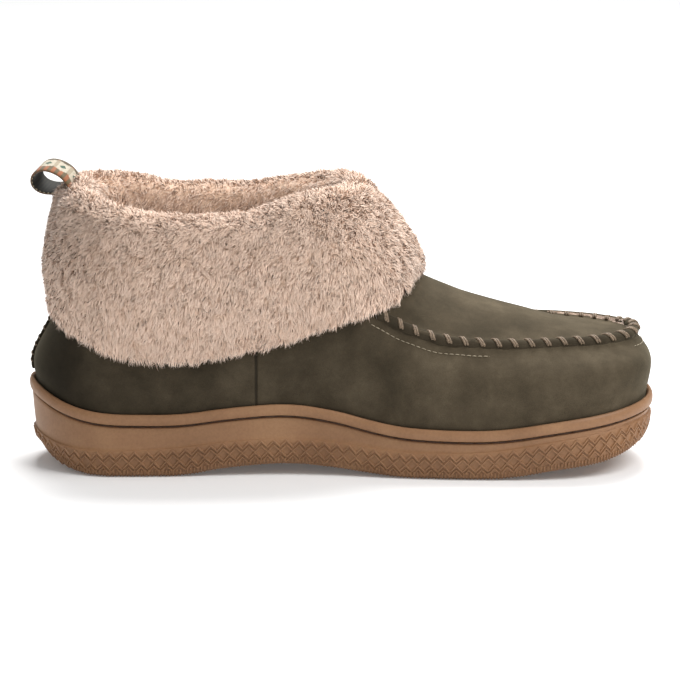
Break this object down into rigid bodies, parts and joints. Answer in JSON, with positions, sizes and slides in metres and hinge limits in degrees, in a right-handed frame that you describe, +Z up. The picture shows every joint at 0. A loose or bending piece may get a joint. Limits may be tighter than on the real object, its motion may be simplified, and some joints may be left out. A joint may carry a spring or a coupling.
{
  "type": "house slipper",
  "caption": "Ankle-height moccasin house slipper for a left foot: suede upper with a raised apron seam, deep fleece cuff, moulded cup sole and a woven pull loop.",
  "frame": {"origin": "middle of the slipper's box, on the floor under its sole", "axes": "+X from the heel to the toe, -Y to the inner side of the foot, +Z up"},
  "size_m": [0.27, 0.1054, 0.1312],
  "materials": {
    "sole_rubber": "tan moulded rubber, satin, with an embossed band of diamonds",
    "insole_fleece": "short matted fleece",
    "suede": "olive brown suede with a mottled nap",
    "fleece": "deep pinkish sand fleece with light tips",
    "woven_tape": "woven jacquard tape in cream, green and rust on a dark back"
  },
  "bodies": {
    "root": {"outsole": "sole_rubber", "insole": "insole_fleece", "upper": "suede", "cuff": "fleece", "pull_loop": "woven_tape"}
  },
  "joints": []
}
